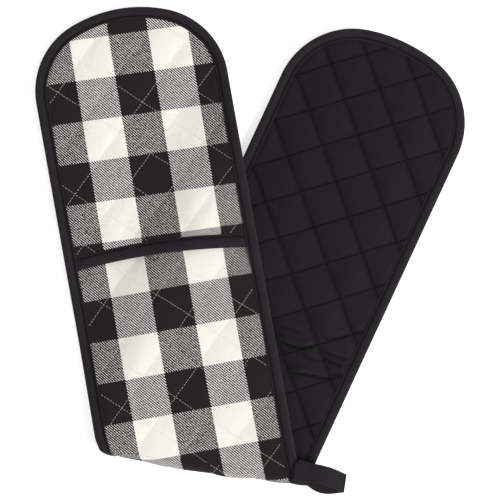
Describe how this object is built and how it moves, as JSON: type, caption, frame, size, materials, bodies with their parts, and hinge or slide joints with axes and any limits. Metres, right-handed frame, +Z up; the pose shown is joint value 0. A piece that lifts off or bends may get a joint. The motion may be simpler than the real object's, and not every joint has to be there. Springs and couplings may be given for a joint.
{
  "type": "double oven glove",
  "caption": "Long quilted strip with rounded ends, a hand pocket at each end and a side hanging loop, folded in half and laid flat.",
  "frame": {"origin": "middle of the plan of the whole folded glove, on the surface it lies on", "axes": "+Z up from the surface, +Y away from the fold towards the rounded ends, +X towards the side with the lower half and the hanging loop"},
  "size_m": [0.4028, 0.4558, 0.0291],
  "materials": {
    "check_twill": "yarn-dyed cotton twill in an off-white and black check, diamond quilted",
    "black_cotton": "plain black cotton, diamond quilted",
    "wadding": "soft felted wadding",
    "black_binding": "black bias binding, topstitched",
    "black_tape": "black folded cotton tape"
  },
  "bodies": {
    "lower_half": {"lower_black_backing": "black_cotton", "lower_wadding": "wadding", "lower_check_face": "check_twill", "lower_edge_binding": "black_binding", "lower_pocket_side_seam": "black_binding", "fold_black_backing": "black_cotton", "fold_wadding": "wadding", "fold_check_face": "check_twill", "fold_left_binding": "black_binding", "fold_right_binding": "black_binding"},
    "upper_half": {"upper_black_backing": "black_cotton", "upper_wadding": "wadding", "upper_check_face": "check_twill", "upper_edge_binding": "black_binding", "upper_pocket_side_seam": "black_binding", "loop_sewn_end": "black_tape"},
    "upper_pocket": {"upper_pocket_lining": "black_cotton", "upper_pocket_wadding": "wadding", "upper_pocket_check_panel": "check_twill", "upper_pocket_mouth_binding": "black_binding"},
    "lower_pocket": {"lower_pocket_lining": "black_cotton", "lower_pocket_wadding": "wadding", "lower_pocket_check_panel": "check_twill", "lower_pocket_mouth_binding": "black_binding"},
    "hanging_loop": {"hanging_loop": "black_tape"}
  },
  "joints": [
    {"name": "middle_fold", "type": "hinge", "parent": "lower_half", "child": "upper_half", "pos_m": [-0.04496, -0.19902, 0.01025], "axis": [0.9918, -0.1279, 0], "range_deg": [0, 177], "deforming": ["fold_black_backing", "fold_wadding", "fold_check_face", "fold_left_binding", "fold_right_binding"]},
    {"name": "upper_pocket_mouth", "type": "hinge", "parent": "upper_half", "child": "upper_pocket", "pos_m": [-0.12154, 0.21336, 0.0102], "axis": [-0.9845, -0.1754, 0], "range_deg": [0, 12]},
    {"name": "lower_pocket_mouth", "type": "hinge", "parent": "lower_half", "child": "lower_pocket", "pos_m": [0.13841, 0.18368, 0.0042], "axis": [0.9078, -0.4194, 0], "range_deg": [0, 12]},
    {"name": "loop_swing", "type": "hinge", "parent": "upper_half", "child": "hanging_loop", "pos_m": [0.05071, -0.20614, 0.0211], "axis": [-0.342, -0.9397, 0], "range_deg": [0, 90]}
  ]
}
